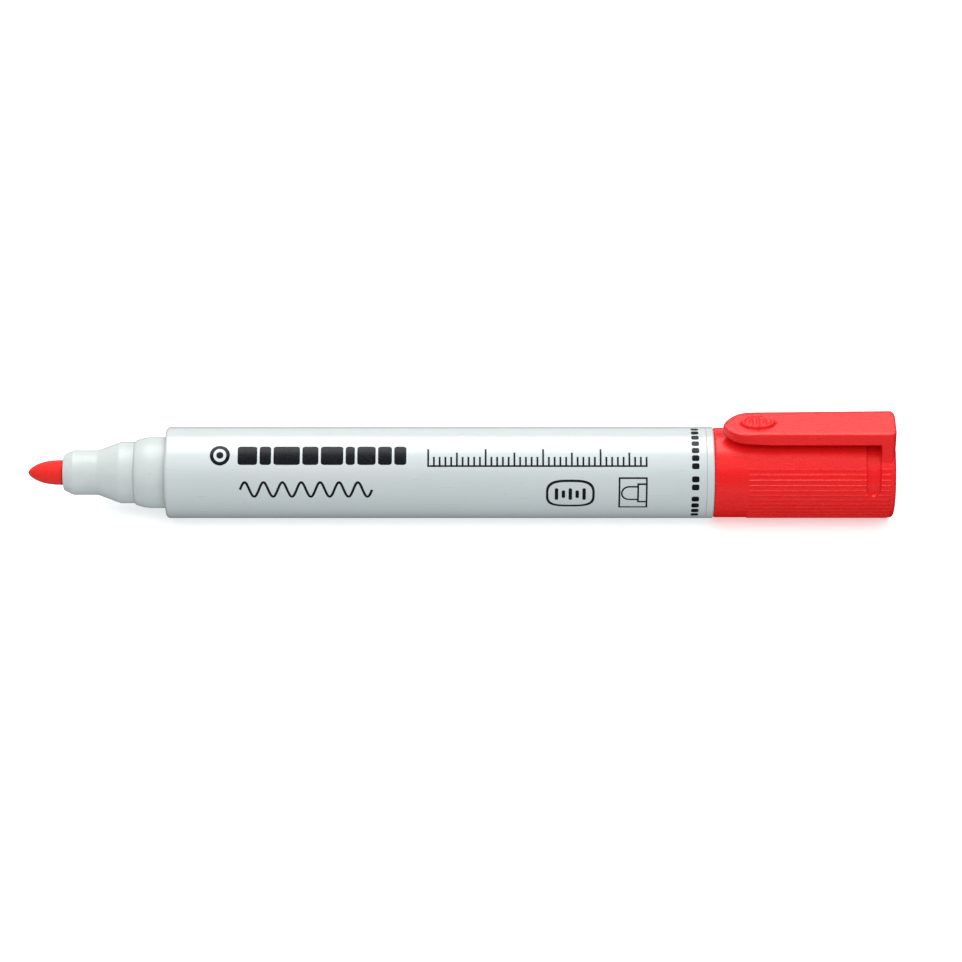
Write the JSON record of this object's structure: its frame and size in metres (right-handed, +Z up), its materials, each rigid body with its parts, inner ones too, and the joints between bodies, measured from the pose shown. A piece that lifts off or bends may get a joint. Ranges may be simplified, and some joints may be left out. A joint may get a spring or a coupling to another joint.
{
  "type": "whiteboard marker",
  "caption": "Round bullet-nib marker lying on its side, with a clipped cap pushed on the rear end of its barrel.",
  "frame": {"origin": "under the middle of the marker, on the surface that it lies on, with the cap pushed on the rear end", "axes": "+X along the marker from the nib to the cap's closed end, +Z up through the clip"},
  "size_m": [0.1518, 0.016, 0.0197],
  "materials": {
    "barrel_plastic": "silvery white, satin gloss",
    "nose_plastic": "pale grey, satin",
    "cap_plastic": "red, moulded satin gloss",
    "nib_fibre": "felted fibre soaked with red ink",
    "reservoir_fibre": "fibre bundle soaked with red ink",
    "film": "clear film",
    "liner_plastic": "natural polypropylene"
  },
  "bodies": {
    "barrel": {"nib": "nib_fibre", "nib_holder": "nose_plastic", "front_collar": "nose_plastic", "barrel": "barrel_plastic", "ink_reservoir": "reservoir_fibre", "reservoir_film": "film", "breather_tube": "liner_plastic", "end_plug": "barrel_plastic"},
    "cap": {"cap_shell": "cap_plastic", "inner_cap": "liner_plastic"},
    "clip": {"clip": "cap_plastic"}
  },
  "joints": [
    {"name": "cap_pull", "type": "slide", "parent": "barrel", "child": "cap", "axis": [1, 0, 0], "range_m": [0, 0.03]},
    {"name": "clip_flex", "type": "hinge", "parent": "cap", "child": "clip", "pos_m": [0.07335, 0, 0.0182], "axis": [0, 1, 0], "range_deg": [0, 5], "stiffness_Nm_per_rad": 0.3}
  ]
}
